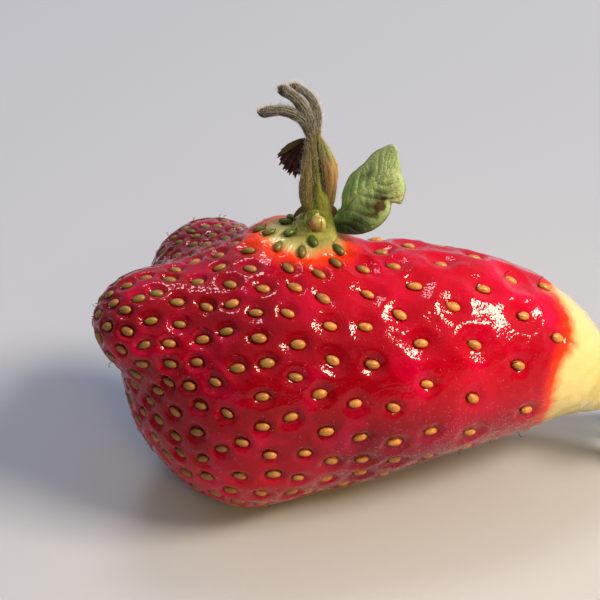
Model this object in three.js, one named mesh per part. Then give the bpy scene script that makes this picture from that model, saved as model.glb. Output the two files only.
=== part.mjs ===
// A long-necked strawberry lying on its side, as picked: the flesh with its pale neck, a calyx and a cut
// stem at one end, and a small leafy shoot that has grown out of its flank.
// Millimetres. +X runs from the broad tip to the stem, +Y across the fruit, +Z up. The origin is in the
// middle of the small flat spot that the fruit rests on.
import * as THREE from "three";
import { ParametricGeometry } from "three/addons/geometries/ParametricGeometry.js";

const TAU = 2 * Math.PI;
const vec = (x, y, z) => new THREE.Vector3(x, y, z);

// ---- driving dimensions ----

const fruit = {
  // the trunk of the fruit, from the broad tip to the calyx: centre and radius of its round sections
  trunk: [
    { at: vec(-6.8, -1.5, 13.8), radius: 12.9 },
    { at: vec(1, -0.5, 13.7), radius: 12.5 },
    { at: vec(10, 0.6, 14.2), radius: 11.3 },
    { at: vec(18, 1.6, 13.6), radius: 9.2 },
    { at: vec(24, 2.3, 11.9), radius: 6.5 },
    { at: vec(28, 2.8, 8.9), radius: 3.6 },
    { at: vec(33.5, 3.2, 8.3), radius: 2.8 },
  ],
  // rounded lobes that swell out of the trunk
  lobes: {
    nose: { at: vec(-16.3, -5, 21.1), size: vec(5.5, 6, 4.7) },
    backLobe: { at: vec(-11.2, 8, 17.5), size: vec(7.2, 8, 7.4) },
    chin: { at: vec(-7, -5, 9.4), size: vec(9, 8.5, 8.5) },
    belly: { at: vec(0.5, 0.5, 7.6), size: vec(11.5, 9, 8.2) },
    collar: { at: vec(-2.4, 2.4, 25.6), size: vec(4.4, 4, 1.9) },
  },
  blend: 3.2, // how far two neighbouring lobes run into each other
  capShare: 0.3, // share of the rings that close the broad tip
  rings: 40,
  sides: 38,
};

const calyx = {
  discRadius: 2.9,
  discThick: 0.8,
  count: 5,
  sepal: { from: 3.05, reach: 8.8, lift: 0.5, reflex: 3.4, halfWidth: 1.75, halfThick: 0.16 },
  bractlet: { from: 3.05, reach: 6.6, lift: 0.75, reflex: 3.4, halfWidth: 0.95, halfThick: 0.14 },
};

const stem = {
  radius: 0.95,
  rise: [vec(0, 0, 0), vec(3.4, 0.3, -0.2), vec(7, 0.5, 0.5), vec(10.4, 0.6, 2)],
};

const shoot = {
  at: vec(-0.2, 2.4, 14), // straight above this point the shoot leaves the fruit
  crownHeight: 1.7,
  crownRadius: 1.9,
  neckRadius: 1.5,
};

const gap = 0.1; // clearance between pieces that touch

// ---- colours, roughness ----

const finishes = {
  flesh: { color: 0xb3101c, roughness: 0.3 },
  green: { color: 0x6f9a48, roughness: 0.6 },
  leaf: { color: 0x5f8a4c, roughness: 0.65 },
  paleGreen: { color: 0xa6ab5c, roughness: 0.55 },
  bud: { color: 0xd9c98a, roughness: 0.45 },
  hairy: { color: 0x7c7a55, roughness: 0.8 },
  papery: { color: 0xb59a5e, roughness: 0.75 },
  withered: { color: 0x3a2320, roughness: 0.85 },
};

// ---- the flesh ----

// Smooth minimum of two distances.
function merge(a, b, k) {
  const h = Math.max(k - Math.abs(a - b), 0) / k;
  return Math.min(a, b) - (h * h * k) / 4;
}

// Distance to an ellipsoid, close enough near its surface.
function ellipsoidDistance(p, { at, size }) {
  const q = p.clone().sub(at).divide(size);
  const k0 = q.length();
  const k1 = q.divide(size).length();
  return k1 < 1e-9 ? -Math.min(size.x, size.y, size.z) : (k0 * (k0 - 1)) / k1;
}

const fruitSpine = new THREE.CatmullRomCurve3(fruit.trunk.map((s) => s.at));
const radiusLine = new THREE.SplineCurve(
  fruit.trunk.map((s, i) => new THREE.Vector2(i, s.radius)),
);
const beads = Array.from({ length: 121 }, (_, i) => ({
  at: fruitSpine.getPoint(i / 120),
  radius: radiusLine.getPoint(i / 120).y,
}));

function fleshDistance(p) {
  const trunk = Math.min(...beads.map((b) => p.distanceTo(b.at) - b.radius));
  return Object.values(fruit.lobes).reduce(
    (d, lobe) => merge(d, ellipsoidDistance(p, lobe), fruit.blend),
    trunk,
  );
}

// The point where a ray from inside the flesh meets its skin.
function skinPoint(from, direction, target) {
  let near = 0;
  let far = 40;
  for (let i = 0; i < 26; i++) {
    const middle = (near + far) / 2;
    target.copy(from).addScaledVector(direction, middle);
    if (fleshDistance(target) < 0) near = middle;
    else far = middle;
  }
  return target;
}

// Rays fan out from the start of the spine to close the tip, then stand square to it down to the neck,
// whose end is a flat disc. The underside is pressed flat where the fruit rests.
function fleshGeometry() {
  const lastRing = 1 - 1 / fruit.rings;
  return new ParametricGeometry(
    (u, v, target) => {
      const tilt = (Math.min(v / fruit.capShare, 1) * Math.PI) / 2;
      const along = THREE.MathUtils.clamp((v - fruit.capShare) / (lastRing - fruit.capShare), 0, 1);
      const t = 0.04 + 0.96 * along;
      const from = fruitSpine.getPoint(t);
      if (v > lastRing + 1e-6) return target.copy(from);
      const { axis, up, side } = squareTo(fruitSpine.getTangent(t));
      const round = u * TAU;
      const direction = axis
        .multiplyScalar(-Math.cos(tilt))
        .addScaledVector(up, Math.sin(tilt) * Math.cos(round))
        .addScaledVector(side, -Math.sin(tilt) * Math.sin(round));
      skinPoint(from, direction, target);
      target.z = Math.max(target.z, 0);
      return target;
    },
    fruit.sides,
    fruit.rings,
  );
}

// An axis with the two directions square to it, up being the one nearest +Z.
function squareTo(direction) {
  const axis = direction.clone().normalize();
  const up = vec(0, 0, 1).addScaledVector(axis, -axis.z).normalize();
  return { axis, up, side: up.clone().cross(axis) };
}

// ---- stalks, leaves and buds ----

// A round stalk along a curve, with flat ends. radius(t) gives its radius.
function stalkGeometry(points, radius, sides = 12, steps = 12) {
  const curve = new THREE.CatmullRomCurve3(points);
  return new ParametricGeometry(
    (u, v, target) => {
      const row = Math.round(v * steps);
      const t = THREE.MathUtils.clamp((row - 1) / (steps - 2), 0, 1);
      const size = row === 0 || row === steps ? 0 : radius(t);
      const axis = curve.getTangent(t);
      const side = vec(0, 1, 0).cross(axis).normalize();
      const front = axis.clone().cross(side);
      target
        .copy(curve.getPoint(t))
        .addScaledVector(side, size * Math.cos(u * TAU))
        .addScaledVector(front, size * Math.sin(u * TAU));
    },
    sides,
    steps,
  );
}

// A thin blade along a curve, pointed at both ends and lens-shaped across. facing is roughly square to the
// blade, and cup lifts its two edges that way.
function bladeGeometry(blade, sides = 10, steps = 9) {
  const { points, facing, halfWidth, halfThick, cup = 0, fullest = 0.5 } = blade;
  const curve = new THREE.CatmullRomCurve3(points);
  const shape = Math.log(0.5) / Math.log(fullest);
  return new ParametricGeometry(
    (u, v, target) => {
      const swell = Math.sin(Math.PI * Math.pow(v, shape)) ** 0.8;
      const axis = curve.getTangent(v);
      const side = facing.clone().cross(axis).normalize();
      const normal = axis.clone().cross(side);
      const across = Math.cos(u * TAU);
      const closed = v < 1e-6 || v > 1 - 1e-6 ? 0 : swell;
      target
        .copy(curve.getPoint(v))
        .addScaledVector(side, closed * halfWidth * across)
        .addScaledVector(normal, closed * (halfThick * Math.sin(u * TAU) + cup * across * across));
    },
    sides,
    steps,
  );
}

// ---- assembly ----

const part = new THREE.Group();

function add(name, geometry, finish, parent = part) {
  const material = new THREE.MeshStandardMaterial({ ...finishes[finish], metalness: 0 });
  const mesh = new THREE.Mesh(geometry, material);
  mesh.name = name;
  parent.add(mesh);
  return mesh;
}

add("fruit_flesh", fleshGeometry(), "flesh");
addCalyx();
addShoot();

// The calyx is built in a group of its own, whose +X runs on along the neck.
function addCalyx() {
  const end = new THREE.Group();
  const { axis, up, side } = squareTo(fruitSpine.getTangent(1));
  end.quaternion.setFromRotationMatrix(new THREE.Matrix4().makeBasis(axis, side, up));
  end.position.copy(fruitSpine.getPoint(1));
  part.add(end);

  const { discRadius: r, discThick: thick, count } = calyx;
  const outline = [
    new THREE.Vector2(0, gap),
    new THREE.Vector2(r * 0.92, gap),
    new THREE.Vector2(r, thick * 0.5),
    new THREE.Vector2(r * 0.7, thick),
    new THREE.Vector2(0, thick),
  ];
  add("calyx_disc", new THREE.LatheGeometry(outline, 20), "green", end).rotation.z = -Math.PI / 2;

  const start = vec(thick + gap, 0, 0);
  const route = stem.rise.map((p) => p.clone().add(start));
  add("cut_stem", stalkGeometry(route, () => stem.radius, 12, 10), "paleGreen", end);

  for (let i = 0; i < count; i++) {
    addRay(end, `sepal_${i + 1}`, calyx.sepal, (i / count) * TAU);
    addRay(end, `bractlet_${i + 1}`, calyx.bractlet, ((i + 0.5) / count) * TAU);
  }
}

// One sepal or bractlet, spreading from the rim of the calyx disc and bending back towards the stem.
function addRay(end, name, { from, reach, lift, reflex, halfWidth, halfThick }, turn) {
  const out = vec(0, Math.sin(turn), Math.cos(turn));
  const place = (share) =>
    out
      .clone()
      .multiplyScalar(from + (reach - from) * share)
      .setX(lift + reflex * share * share);
  const points = [place(0), place(0.5), place(1)];
  const blade = { points, facing: vec(-1, 0, 0), halfWidth, halfThick, fullest: 0.42 };
  add(name, bladeGeometry(blade, 8, 8), "green", end);
}

// The shoot stands on the collar: a crown with a bud, two stipules clasping a hairy stalk, three folded
// leaflets at its head, a withered leaflet behind it and one open leaf beside it.
function addShoot() {
  // the crown's flat foot clears the highest skin under it
  const skinUnder = (turn) => {
    const out = vec(Math.cos(turn), Math.sin(turn), 0).multiplyScalar(shoot.crownRadius);
    const below = shoot.at.clone().add(out);
    return skinPoint(below, vec(0, 0, 1), vec(0, 0, 0)).z;
  };
  const turns = Array.from({ length: 12 }, (_, i) => (i / 12) * TAU);
  const root = Math.max(skinPoint(shoot.at, vec(0, 0, 1), vec(0, 0, 0)).z, ...turns.map(skinUnder));
  const foot = root + gap;
  const top = foot + shoot.crownHeight;
  const { x, y } = shoot.at;
  const group = new THREE.Group();
  group.position.set(x, y, 0);
  part.add(group);
  const fromTop = (dx, dy, dz) => vec(dx, dy, top + dz);

  const taper = (t) => THREE.MathUtils.lerp(shoot.crownRadius, shoot.neckRadius, t);
  add("shoot_crown", stalkGeometry([vec(0, 0, foot), vec(0, 0, top)], taper, 14, 6), "paleGreen", group);

  const bud = add("shoot_bud", new THREE.SphereGeometry(0.9, 12, 9), "bud", group);
  bud.scale.set(0.92, 0.62, 1);
  bud.position.set(0, -shoot.crownRadius - 0.58, foot + 1.15);

  const stalk = [fromTop(0, 0, gap), fromTop(0.05, 0, 3.6), fromTop(-0.2, 0.1, 6.6), fromTop(-0.4, 0.1, 8)];
  add("shoot_stalk", stalkGeometry(stalk, (t) => 0.75 - 0.2 * t, 10, 12), "hairy", group);

  add(
    "stipule_left",
    bladeGeometry({
      points: [
        fromTop(-0.95, -0.2, 0.1),
        fromTop(-1.45, -0.2, 3),
        fromTop(-1.1, -0.1, 5.4),
        fromTop(-0.95, 0, 7),
      ],
      facing: vec(0, -1, 0),
      halfWidth: 0.46,
      halfThick: 0.22,
    }),
    "paleGreen",
    group,
  );
  add(
    "stipule_right",
    bladeGeometry({
      points: [fromTop(1, -0.2, 0.1), fromTop(1.4, -0.2, 3), fromTop(1.2, -0.1, 4.8), fromTop(0.8, 0, 6.4)],
      facing: vec(0, -1, 0),
      halfWidth: 0.46,
      halfThick: 0.22,
    }),
    "papery",
    group,
  );
  add(
    "leaflet_upper",
    bladeGeometry({
      points: [
        fromTop(-0.1, 0.3, 8.2),
        fromTop(-0.1, 0.3, 9.9),
        fromTop(-0.5, 0.2, 11.4),
        fromTop(-1.4, 0.1, 12.5),
        fromTop(-2.7, 0, 12.9),
      ],
      facing: vec(0, -1, 0),
      halfWidth: 0.5,
      halfThick: 0.34,
    }),
    "hairy",
    group,
  );
  add(
    "leaflet_middle",
    bladeGeometry({
      points: [
        fromTop(-0.65, -0.1, 8.2),
        fromTop(-1.1, -0.1, 9.6),
        fromTop(-2.2, -0.2, 10.9),
        fromTop(-3.8, -0.3, 12.1),
      ],
      facing: vec(0, -1, 0),
      halfWidth: 0.5,
      halfThick: 0.34,
    }),
    "hairy",
    group,
  );
  add(
    "leaflet_lower",
    bladeGeometry({
      points: [
        fromTop(-0.9, -0.85, 7.7),
        fromTop(-1.7, -0.9, 9.2),
        fromTop(-3, -1, 10.2),
        fromTop(-4.4, -1.1, 10.5),
        fromTop(-5.7, -1.1, 10.3),
      ],
      facing: vec(0, -1, 0),
      halfWidth: 0.52,
      halfThick: 0.32,
    }),
    "hairy",
    group,
  );
  add(
    "withered_leaflet",
    bladeGeometry({
      points: [fromTop(-0.75, 0.95, 6.2), fromTop(-2.1, 1.3, 5.2), fromTop(-3, 1.6, 2.9)],
      facing: vec(0.2, -1, 0.1),
      halfWidth: 1.35,
      halfThick: 0.22,
    }),
    "withered",
    group,
  );
  add(
    "side_leaf",
    bladeGeometry(
      {
        points: [
          fromTop(shoot.crownRadius + 0.3, -0.3, -1.3),
          fromTop(4.2, -1.1, 0.1),
          fromTop(6.3, -1.5, 2.5),
          fromTop(7.6, -0.9, 7),
        ],
        facing: vec(-0.25, -1, 0.35),
        halfWidth: 2.9,
        halfThick: 0.2,
        cup: 0.3,
        fullest: 0.5,
      },
      14,
      12,
    ),
    "leaf",
    group,
  );
  for (const [name, turn] of [["scale_left", 1], ["scale_right", -1]]) {
    const at = (out, rise) => vec(-turn * out, 0.7, top + rise);
    const blade = {
      points: [at(1.65, -0.75), at(1.95, -0.1), at(2.1, 0.7)],
      facing: vec(-turn, 0, 0.2),
      halfWidth: 0.5,
      halfThick: 0.1,
    };
    add(name, bladeGeometry(blade, 8, 6), "papery", group);
  }
}

export default part;
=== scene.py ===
import math

import bmesh
import bpy
import numpy as np
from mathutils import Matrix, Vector, bvhtree, kdtree


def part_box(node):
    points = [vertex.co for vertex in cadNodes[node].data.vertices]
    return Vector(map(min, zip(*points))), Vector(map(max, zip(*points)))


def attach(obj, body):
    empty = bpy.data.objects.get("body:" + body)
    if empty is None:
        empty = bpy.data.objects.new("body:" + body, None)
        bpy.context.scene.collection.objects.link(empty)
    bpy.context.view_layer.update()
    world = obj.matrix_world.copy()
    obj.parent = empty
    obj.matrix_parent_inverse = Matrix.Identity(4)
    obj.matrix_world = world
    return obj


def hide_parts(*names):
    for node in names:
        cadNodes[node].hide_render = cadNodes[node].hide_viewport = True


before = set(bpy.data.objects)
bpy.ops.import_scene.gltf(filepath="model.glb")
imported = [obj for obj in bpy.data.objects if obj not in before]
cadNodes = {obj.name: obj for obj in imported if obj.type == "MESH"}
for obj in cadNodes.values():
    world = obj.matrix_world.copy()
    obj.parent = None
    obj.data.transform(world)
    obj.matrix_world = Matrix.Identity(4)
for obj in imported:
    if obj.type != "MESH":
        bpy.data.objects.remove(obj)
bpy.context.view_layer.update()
mm = 0.001  # shapes are worked out in millimetres, Blender's objects are in metres
rng = np.random.default_rng(23)


def linear(hexColor):
    parts = [int(hexColor[i:i + 2], 16) / 255 for i in (1, 3, 5)]
    return [c / 12.92 if c <= 0.04045 else ((c + 0.055) / 1.055) ** 2.4 for c in parts] + [1.0]


def plug(tree, value, socket):  # a node stands for its main output, which is the third on a colour mix
    if isinstance(value, bpy.types.Node):
        value = value.outputs[2 if value.bl_idname == "ShaderNodeMix" else 0]
    if isinstance(value, bpy.types.NodeSocket):
        tree.links.new(value, socket)
    else:
        socket.default_value = linear(value) if isinstance(value, str) else value


def addNode(tree, kind, inputs=None, stops=(), **settings):
    node = tree.nodes.new("ShaderNode" + kind)
    for name, value in settings.items():
        setattr(node, name, value)
    for key, value in (inputs or {}).items():
        plug(tree, value, node.inputs[key])
    for index, (place, tone) in enumerate(stops):
        points = node.color_ramp.elements
        point = points[index] if index < len(points) else points.new(place)
        point.position = place
        point.color = linear(tone) if isinstance(tone, str) else (tone, tone, tone, 1)
    return node


def paintOver(tree, color, *layers):
    # lays tones over a colour, each by its mask through the ramp's stops, or by a share of the mask
    for mask, stops, tone in layers:
        stops = stops if isinstance(stops, list) else [(0, 0), (1, stops)]
        share = addNode(tree, "ValToRGB", {0: mask}, stops)
        color = addNode(tree, "Mix", {0: share, 6: color, 7: tone}, data_type="RGBA")
    return color


def newMaterial(name, reads=(), **settings):  # reads: the mesh's masks that the material uses
    material = bpy.data.materials.new(name)
    material.use_nodes = True
    tree = material.node_tree
    for key, value in settings.items():
        plug(tree, value, tree.nodes["Principled BSDF"].inputs[key.replace("_", " ")])
    masks = {key: addNode(tree, "Attribute", attribute_name=key).outputs["Fac"] for key in reads}
    return material, tree, masks


def finishMaterial(material, color, height=None, strength=0, depth=0, bumped=("Normal",)):
    tree = material.node_tree
    sockets = tree.nodes["Principled BSDF"].inputs
    plug(tree, color, sockets["Base Color"])
    if height is not None:
        bump = addNode(tree, "Bump", {"Height": height, "Strength": strength, "Distance": depth * mm})
        for key in bumped:
            plug(tree, bump, sockets[key])
    return material


def makePiece(name, points, faces, masks, material, slot=None, replaces=()):
    shape = bmesh.new()
    corners = [shape.verts.new(p) for p in (np.asarray(points) * mm).tolist()]
    for face in faces:
        shape.faces.new([corners[i] for i in face])
    bmesh.ops.recalc_face_normals(shape, faces=shape.faces)
    mesh = bpy.data.meshes.new(name)
    shape.to_mesh(mesh)
    shape.free()
    for key, values in masks.items():
        layer = mesh.attributes.new(key, "FLOAT", "POINT")
        layer.data.foreach_set("value", np.asarray(values, np.float32).ravel())
    mesh.shade_smooth()
    mesh.materials.append(material)
    piece = bpy.data.objects.new(name, mesh)
    bpy.context.scene.collection.objects.link(piece)
    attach(piece, "root")
    if replaces:
        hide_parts(*replaces)
    return piece


def unit(v):
    return v / np.maximum(np.linalg.norm(v, axis=-1, keepdims=True), 1e-9)


def ease(low, high, value):  # 0 below low, 1 above high, smooth between
    t = np.clip((value - low) / (high - low), 0, 1)
    return t * t * (3 - 2 * t)


def bell(value, middle, reach):  # 1 at the middle, fading out on both sides
    return np.exp(-((value - middle) / reach) ** 2)


def meshArrays(mesh):
    points = np.empty(len(mesh.vertices) * 3)
    normals = np.empty(len(mesh.vertices) * 3)
    mesh.vertices.foreach_get("co", points)
    mesh.vertex_normals.foreach_get("vector", normals)
    return points.reshape(-1, 3), normals.reshape(-1, 3)


def pointTree(points):
    tree = kdtree.KDTree(len(points))
    for k, point in enumerate(points):
        tree.insert(point, k)
    tree.balance()
    return tree


def softNoise(points, size, seed):  # smooth waves in random directions, about -1 to 1, lumps size mm across
    waves = np.random.default_rng(seed)
    total = np.zeros(len(points))
    for _ in range(9):
        direction = unit(waves.normal(size=3)) * (2 * math.pi / size) * waves.uniform(0.6, 1.5)
        total += np.sin(points @ direction + waves.uniform(0, 6.28))
    return total / 4.0


def followCurve(points, count):  # evenly spaced points on a smooth curve through the given ones
    points = np.asarray(points, float)
    padded = np.vstack([2 * points[0] - points[1], points, 2 * points[-1] - points[-2]])
    t = np.linspace(0, 1, 24, endpoint=False)[:, None]
    fine = []
    for a, b, c, d in zip(padded, padded[1:], padded[2:], padded[3:]):
        curve = (2 * a - 5 * b + 4 * c - d) * t ** 2 + (3 * b - a - 3 * c + d) * t ** 3
        fine.append(b + (c - a) * t / 2 + curve / 2)
    fine = np.vstack(fine + [points[-1:]])
    run = np.r_[0, np.cumsum(np.linalg.norm(np.diff(fine, axis=0), axis=1))]
    want = np.linspace(0, run[-1], count)
    return np.stack([np.interp(want, run, fine[:, c]) for c in range(3)], 1)


def ringFaces(rows, sides):  # the faces of a closed tube whose points are in rings
    faces = []
    for i in range(rows):
        for j in range(sides):
            a, b = i * sides + j, i * sides + (j + 1) % sides
            faces.append((a, b, b + sides, a + sides))
    return faces + [tuple(range(sides)), tuple(rows * sides + j for j in range(sides))]


def tubeShape(path, halfWidth, halfThick, rows, sides, ridges=None, facing=(0, -1, 0)):
    # a closed tube along a path: width lies across it, thickness towards facing, both by share of length
    centre = followCurve(path, rows + 1)
    tangent = unit(np.gradient(centre, axis=0))
    across = unit(np.cross(tangent, facing))
    front = np.cross(across, tangent)
    s = np.linspace(0, 1, rows + 1)[:, None]
    turn = np.arange(sides)[None, :] * 2 * math.pi / sides
    swell = (ridges(s, turn) if ridges else 1) + 0 * s + 0 * turn
    wide = np.interp(s, *halfWidth) * np.cos(turn) * swell
    thick = np.interp(s, *halfThick) * np.sin(turn) * swell
    points = centre[:, None] + across[:, None] * wide[..., None] - front[:, None] * thick[..., None]
    masks = {"along": s + 0 * turn, "around": np.cos(turn) + 0 * s, "ridge": swell}
    return points.reshape(-1, 3), ringFaces(rows, sides), {key: value.ravel() for key, value in masks.items()}


def sheetShape(grid, thick, masks):
    # a thin closed sheet from a grid of points: two faces apart by the thickness, joined round the rim
    rows, columns = grid.shape[:2]
    thick = thick + 0 * grid[..., 0]
    half = unit(np.cross(np.gradient(grid, axis=0), np.gradient(grid, axis=1))) * thick[..., None] / 2
    points = np.concatenate([(grid + half).reshape(-1, 3), (grid - half).reshape(-1, 3)])
    below = rows * columns
    faces = []
    for i in range(rows - 1):
        for j in range(columns - 1):
            a = i * columns + j
            quad = (a, a + 1, a + columns + 1, a + columns)
            faces += [quad, tuple(v + below for v in quad[::-1])]
    rim = [(0, j) for j in range(columns)] + [(i, columns - 1) for i in range(1, rows)]
    rim += [(rows - 1, j) for j in range(columns - 2, -1, -1)] + [(i, 0) for i in range(rows - 2, 0, -1)]
    rim = [i * columns + j for i, j in rim]
    faces += [(a, b, b + below, a + below) for a, b in zip(rim, rim[1:] + rim[:1])]
    both = {key: np.tile((value + 0 * thick).ravel(), 2) for key, value in masks.items()}
    both["back"] = np.repeat([0.0, 1.0], below)
    return points, faces, both


def joinShapes(shapes):  # keeps the masks that all the shapes have
    points, faces, start = [], [], 0
    for some, theirFaces, _ in shapes:
        points.append(some)
        faces += [tuple(v + start for v in face) for face in theirFaces]
        start += len(some)
    keys = set(shapes[0][2]).intersection(*(masks for _, _, masks in shapes))
    masks = {key: np.concatenate([shape[2][key] for shape in shapes]) for key in sorted(keys)}
    return np.concatenate(points), faces, masks


camera = {"target": (-2, -1, 21), "distance": 110, "elevation": 30, "lens": 66, "nearest": 0.005}


def makeCamera():
    rise = math.radians(camera["elevation"])
    back = Vector((0, -math.cos(rise), math.sin(rise)))
    data = bpy.data.cameras.new("camera")
    data.lens = camera["lens"]
    data.clip_start = camera["nearest"]
    eye = bpy.data.objects.new("camera", data)
    eye.location = (Vector(camera["target"]) + back * camera["distance"]) * mm
    eye.rotation_euler = (math.pi / 2 - rise, 0, 0)
    bpy.context.scene.collection.objects.link(eye)
    bpy.context.scene.camera = eye


makeCamera()

# a warm window high at the right, a pale roof light over the back, a small warm lamp over the front
lamps = {
    "window": {"place": (1060, -290, 1030), "aim": (0, 0, 14), "size": (590, 380), "watts": 26,
               "color": "#ffebce"},
    "roofLight": {"place": (-150, 632, 1368), "aim": (0, 0, 14), "size": (420, 300), "watts": 5.5,
                  "color": "#f2f1f6"},
    "frontLamp": {"place": (60, -190, 120), "aim": (32, -58, 0), "size": (60, 60), "watts": 0.024,
                  "color": "#ffce6a", "spread": 44},
}
room = {"above": "#c4c8da", "behind": "#b6b9ca", "front": "#2a2829", "strength": 0.68}


def makeLights():
    for name, values in lamps.items():
        data = bpy.data.lights.new(name, "AREA")
        data.shape = "RECTANGLE"
        data.size, data.size_y = (s * mm for s in values["size"])
        data.energy = values["watts"]
        data.color = linear(values["color"])[:3]
        data.spread = math.radians(values.get("spread", 180))
        lamp = bpy.data.objects.new(name, data)
        place = Vector(values["place"])
        lamp.location = place * mm
        lamp.rotation_euler = (place - Vector(values["aim"])).to_track_quat("Z", "Y").to_euler()
        lamp.visible_glossy = name != "frontLamp"
        bpy.context.scene.collection.objects.link(lamp)
    world = bpy.data.worlds.new("daylight")
    world.use_nodes = True
    tree = world.node_tree
    split = addNode(tree, "SeparateXYZ", {0: addNode(tree, "TexCoord")})
    depth = addNode(tree, "Math", {0: split.outputs["Y"], 1: 0.5, 2: 0.5}, operation="MULTIPLY_ADD")
    tint = paintOver(tree, room["front"], (depth, [(0.05, 0), (0.6, 1)], room["behind"]),
                     (split.outputs["Z"], [(0.1, 0), (0.75, 1)], room["above"]))
    plug(tree, tint, tree.nodes["Background"].inputs["Color"])
    plug(tree, room["strength"], tree.nodes["Background"].inputs["Strength"])
    bpy.context.scene.world = world
    bpy.context.scene.view_settings.view_transform = "Standard"
    bpy.context.scene.view_settings.look = "Medium High Contrast"


makeLights()

floor = {"reach": 1500, "tone": "#a8aeb7"}


def makeFloor():
    # matt white card laid flat: it takes a soft shadow and shows no shine
    material = newMaterial("matt_card", Base_Color=floor["tone"], Roughness=0.9, Specular_IOR_Level=0.1)[0]
    r = floor["reach"]
    corners = [(-r, -r, 0), (r, -r, 0), (r, r, 0), (-r, r, 0)]
    makePiece("card_floor", corners, [(0, 1, 2, 3)], {}, material)


makeFloor()
print("camera, light and floor ready")

skin = {
    "grain": 0.33,       # edge of its faces, halved round each achene
    "smoothing": 5,
    "fineReach": ([-10, 2], [1.2, 0.85]),  # by x, how far round an achene the faces are halved
    "fineShare": 0.75,   # of that on the far side and below
    "bowl": ([-22, -10, 0, 8, 17, 21], [0.22, 0.22, 0.3, 0.5, 0.52, 0.26]),  # by x, its depth round an achene
    "bowlReach": ([-22, -10, 0, 8, 20], [1.1, 1.2, 1.5, 2.0, 2.15]),  # by x, radius of that bowl
    "wall": ([-10, 6], [0.15, 0.03]),  # by x, height of the steep wall at the bowl's edge
    "lowWall": 0.13,     # more of it under the belly
    "rim": 0.09,         # softness of the bowl's rim, as a share
    "pit": 0.17,         # depth of the narrow pit that holds the achene
    "lip": 0.07,         # height of the ring round that pit
    "swells": [((-22, -3, 15), 8, (-0.45, 0, 0)), ((-17, -7, 9), 4.5, (-0.45, 0, 0)),
               ((-5.6, 6, 26.3), 3, (0, 0, 0.55)), ((-10, 8, 26.5), 4, (0, 0, -0.25)),
               ((-15.5, 8, 23), 3, (-0.3, 0, 0)), ((12.5, 2, 25.5), 5, (0, 0, -0.3)),
               ((20.5, 1, 22.6), 3, (0, 0, -0.5)), ((-8, -9, 2), 3, (0, -0.3, 0)),
               ((-14, -9, 8), 4, (0.35, 0, 0))],  # place, reach and push
    "lumps": [(7, 5, 0.1), (2.2, 6, 0.03), (1.1, 12, 0.022)],  # size, seed and height
    "tipLumps": 0.014,   # more of the last at the tip
    "creases": 0.12,     # depth of the long folds on top of the neck
    "mound": (1.25, 1.75),  # height and radius of the rise up to the shoot
    # where the red ends, by angle round the neck
    "neckEdge": ([-180, -90, -40, 0, 25, 36, 50, 66, 90, 130, 180],
                 [23.6, 22.8, 22.8, 22.9, 23.1, 23.8, 25.3, 25.1, 24.2, 24.3, 23.6]),
    "neckAxis": (1.8, 11.5),
}
achene = {
    "length": 1.48, "width": 0.9, "thick": 0.66,
    "spacing": ([-22, -15, -6, 3, 11, 18, 25], [1.9, 2.25, 2.75, 3.3, 4.3, 5.0, 5.2]),  # by x
    "tries": 9000, "squeeze": 0.82, "rounds": 14,  # of the even spacing; squeeze is the start's share of it
    "clear": {"neck": 0.4, "shoot": 6.0, "floor": 0.35, "collar": 2.0},  # how near the even ones may come
    # angle and distance from the shoot
    "collar": [(-100, 3.1), (-110, 4.7), (-72, 5.0), (-57, 3.9), (-147, 3.3), (-137, 5.3), (-167, 5.2),
               (168, 3.4), (150, 3.1), (178, 6.0), (60, 3.4), (100, 3.6)],
    # how far the middle stands over its pit: everywhere, more by the shoot, more at the tip
    "proud": (0.16, 0.34, 0.1),
    "ripe": (0.36, 0.45, 0.26),  # at the tip, more towards the neck, and by chance
}


def fineFlesh():
    # a rounded copy of the CAD flesh: its cage swells until the smooth skin passes through the CAD's corners
    rough = bpy.data.meshes.new("fleshCopy")
    shape = bmesh.new()
    shape.from_mesh(cadNodes["fruit_flesh"].data)
    bmesh.ops.remove_doubles(shape, verts=shape.verts, dist=1e-6)
    bmesh.ops.scale(shape, vec=(1 / mm,) * 3, verts=shape.verts)
    bmesh.ops.join_triangles(shape, faces=shape.faces, angle_face_threshold=0.7, angle_shape_threshold=1.2)
    shape.to_mesh(rough)
    shape.free()
    holder = bpy.data.objects.new("fleshCopy", rough)
    bpy.context.scene.collection.objects.link(holder)
    smooth = holder.modifiers.new("round", "SUBSURF")
    smooth.levels = smooth.render_levels = 2
    wanted = meshArrays(rough)[0]
    cage = wanted.copy()
    for _ in range(4):
        rounded = holder.evaluated_get(bpy.context.evaluated_depsgraph_get()).data
        cage += wanted - meshArrays(rounded)[0][:len(cage)]
        rough.vertices.foreach_set("co", cage.ravel())
        rough.update()
        bpy.context.view_layer.update()
    grid = holder.modifiers.new("grid", "REMESH")
    grid.mode = "VOXEL"
    grid.voxel_size = skin["grain"]
    relax = holder.modifiers.new("relax", "SMOOTH")
    relax.iterations = skin["smoothing"]
    relax.factor = 0.5
    final = bpy.data.meshes.new_from_object(holder.evaluated_get(bpy.context.evaluated_depsgraph_get()))
    bpy.data.objects.remove(holder)
    points = meshArrays(final)[0]
    for place, reach, push in skin["swells"]:
        points += np.exp(-np.sum((points - place) ** 2, axis=1) / reach ** 2)[:, None] * push
    final.vertices.foreach_set("co", points.ravel())
    final.update()
    return final


def onBackLobe(points):  # 1 on most of the skin, less on the far lobe, where everything is smaller
    return 1 - 0.26 * ease(2, 6, points[:, 1]) * ease(2, -3, points[:, 0])


def neckSide(points):  # how far past the end of the red a point is, in mm
    x, y, z = points.T
    across, up = skin["neckAxis"]
    around = np.degrees(np.arctan2(z - up, across - y))  # 0 is the front, 90 the top
    return x - np.interp(around, *skin["neckEdge"])


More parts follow.
